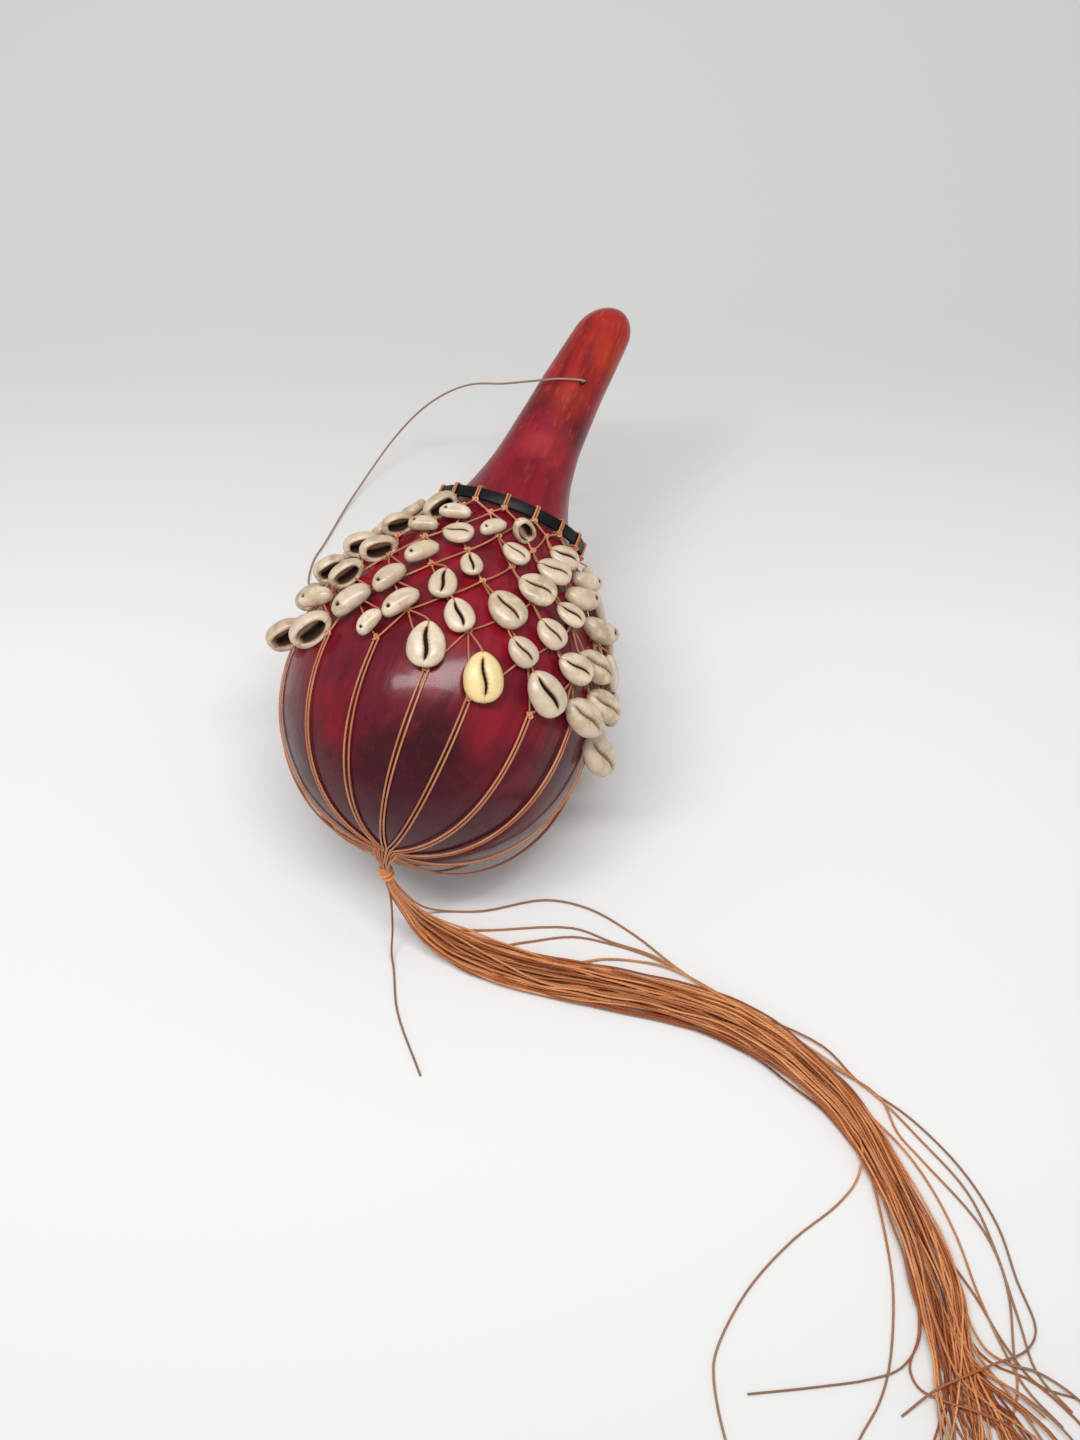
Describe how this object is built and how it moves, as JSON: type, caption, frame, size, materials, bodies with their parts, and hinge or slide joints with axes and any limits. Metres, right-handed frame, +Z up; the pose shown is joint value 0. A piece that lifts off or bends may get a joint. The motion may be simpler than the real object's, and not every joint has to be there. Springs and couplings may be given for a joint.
{
  "type": "shekere",
  "caption": "Hollow lacquered gourd rattle with a long neck, a hoop on its shoulder holding a knotted cord net of cowrie shells, and a long loose tassel below.",
  "frame": {"origin": "on the table under the middle of the box of the gourd and its net, which lie on the belly of the gourd", "axes": "+Z up from the table; the neck points away along +Y, rising and turned a little to +X"},
  "size_m": [0.3755, 0.5964, 0.1653],
  "materials": {
    "lacquered_gourd": "dark maroon lacquer, glossy, redder towards the neck",
    "cowrie_shell": "polished cream shell with toothed slits",
    "waxed_cord": "waxed twisted cord, orange-brown",
    "thin_string": "thin grey-brown waxed string",
    "black_hoop": "flat black band, satin"
  },
  "bodies": {
    "gourd": {"gourd": "lacquered_gourd", "hang_string": "thin_string"},
    "net": {"neck_hoop": "black_hoop", "cord_gather": "waxed_cord", "net_strand_01": "cowrie_shell", "net_strand_02": "cowrie_shell", "net_strand_03": "cowrie_shell", "net_strand_04": "cowrie_shell", "net_strand_05": "cowrie_shell", "net_strand_06": "cowrie_shell", "net_strand_07": "cowrie_shell", "net_strand_08": "cowrie_shell", "net_strand_09": "cowrie_shell", "net_strand_10": "cowrie_shell", "net_strand_11": "cowrie_shell", "net_strand_12": "cowrie_shell", "net_strand_13": "cowrie_shell", "net_strand_14": "cowrie_shell", "net_strand_15": "cowrie_shell", "net_strand_16": "cowrie_shell"},
    "tassel": {"tassel_trunk": "waxed_cord", "tassel_binding": "waxed_cord", "tassel_lock_01": "waxed_cord", "tassel_lock_02": "waxed_cord", "tassel_lock_03": "waxed_cord", "tassel_lock_04": "waxed_cord", "tassel_strand_01": "waxed_cord", "tassel_strand_02": "waxed_cord", "tassel_strand_03": "waxed_cord", "tassel_strand_04": "waxed_cord", "tassel_strand_05": "waxed_cord", "tassel_strand_06": "waxed_cord", "tassel_strand_07": "waxed_cord"},
    "cowrie_01": {"cowrie_01": "cowrie_shell"},
    "cowrie_02": {"cowrie_02": "cowrie_shell"},
    "cowrie_03": {"cowrie_03": "cowrie_shell"},
    "cowrie_04": {"cowrie_04": "cowrie_shell"},
    "cowrie_05": {"cowrie_05": "cowrie_shell"},
    "cowrie_06": {"cowrie_06": "cowrie_shell"},
    "cowrie_07": {"cowrie_07": "cowrie_shell"},
    "cowrie_08": {"cowrie_08": "cowrie_shell"},
    "cowrie_09": {"cowrie_09": "cowrie_shell"},
    "cowrie_10": {"cowrie_10": "cowrie_shell"},
    "cowrie_11": {"cowrie_11": "cowrie_shell"},
    "cowrie_12": {"cowrie_12": "cowrie_shell"},
    "cowrie_13": {"cowrie_13": "cowrie_shell"},
    "cowrie_14": {"cowrie_14": "cowrie_shell"},
    "cowrie_15": {"cowrie_15": "cowrie_shell"},
    "cowrie_16": {"cowrie_16": "cowrie_shell"}
  },
  "joints": [
    {"name": "net_twist", "type": "hinge", "parent": "gourd", "child": "net", "pos_m": [-0.00902, -0.05828, 0.07824], "axis": [0.3495, 0.8874, 0.3007], "range_deg": [-15, 15]},
    {"name": "tassel_swing", "type": "hinge", "parent": "gourd", "child": "tassel", "pos_m": [-0.03271, -0.13318, 0.05694], "axis": [0, 0, 1], "range_deg": [-20, 20]},
    {"name": "cowrie_01_flap", "type": "hinge", "parent": "net", "child": "cowrie_01", "pos_m": [0.05993, -0.07334, 0.12251], "axis": [-0.5668, -0.5986, 0.566], "range_deg": [0, 35]},
    {"name": "cowrie_02_flap", "type": "hinge", "parent": "net", "child": "cowrie_02", "pos_m": [0.07105, -0.07503, 0.08934], "axis": [-0.2608, -0.634, 0.728], "range_deg": [0, 35]},
    {"name": "cowrie_03_flap", "type": "hinge", "parent": "net", "child": "cowrie_03", "pos_m": [0.07337, -0.05893, 0.06303], "axis": [0.0076, -0.8916, 0.4528], "range_deg": [0, 35]},
    {"name": "cowrie_04_flap", "type": "hinge", "parent": "net", "child": "cowrie_04", "pos_m": [0.06264, -0.04577, 0.03667], "axis": [0.2461, -0.9275, 0.2816], "range_deg": [0, 35]},
    {"name": "cowrie_05_flap", "type": "hinge", "parent": "net", "child": "cowrie_05", "pos_m": [0.04225, -0.03131, 0.01772], "axis": [0.4123, -0.9103, 0.0376], "range_deg": [0, 35]},
    {"name": "cowrie_06_flap", "type": "hinge", "parent": "net", "child": "cowrie_06", "pos_m": [0.01532, -0.01777, 0.00906], "axis": [0.4811, -0.8426, -0.242], "range_deg": [0, 35]},
    {"name": "cowrie_07_flap", "type": "hinge", "parent": "net", "child": "cowrie_07", "pos_m": [-0.01405, -0.0072, 0.01202], "axis": [0.4419, -0.7348, -0.5146], "range_deg": [0, 35]},
    {"name": "cowrie_08_flap", "type": "hinge", "parent": "net", "child": "cowrie_08", "pos_m": [-0.04141, -0.00121, 0.02614], "axis": [0.3008, -0.6033, -0.7387], "range_deg": [0, 35]},
    {"name": "cowrie_09_flap", "type": "hinge", "parent": "net", "child": "cowrie_09", "pos_m": [-0.06257, -0.00072, 0.04928], "axis": [0.0791, -0.468, -0.8802], "range_deg": [0, 35]},
    {"name": "cowrie_10_flap", "type": "hinge", "parent": "net", "child": "cowrie_10", "pos_m": [-0.07433, -0.00579, 0.07791], "axis": [-0.1893, -0.3496, -0.9176], "range_deg": [0, 35]},
    {"name": "cowrie_11_flap", "type": "hinge", "parent": "net", "child": "cowrie_11", "pos_m": [-0.07736, -0.02689, 0.11123], "axis": [-0.468, -0.1972, -0.8614], "range_deg": [0, 35]},
    {"name": "cowrie_12_flap", "type": "hinge", "parent": "net", "child": "cowrie_12", "pos_m": [-0.0645, -0.03798, 0.13576], "axis": [-0.7098, -0.1945, -0.677], "range_deg": [0, 35]},
    {"name": "cowrie_13_flap", "type": "hinge", "parent": "net", "child": "cowrie_13", "pos_m": [-0.03794, -0.04998, 0.15458], "axis": [-0.8013, -0.4875, -0.3469], "range_deg": [0, 35]},
    {"name": "cowrie_14_flap", "type": "hinge", "parent": "net", "child": "cowrie_14", "pos_m": [-0.014, -0.06021, 0.16129], "axis": [-0.8893, -0.4356, -0.1395], "range_deg": [0, 35]},
    {"name": "cowrie_15_flap", "type": "hinge", "parent": "net", "child": "cowrie_15", "pos_m": [0.01295, -0.07199, 0.15726], "axis": [-0.9363, -0.3133, 0.1587], "range_deg": [0, 35]},
    {"name": "cowrie_16_flap", "type": "hinge", "parent": "net", "child": "cowrie_16", "pos_m": [0.0399, -0.07337, 0.14457], "axis": [-0.7568, -0.5544, 0.3464], "range_deg": [0, 35]}
  ]
}
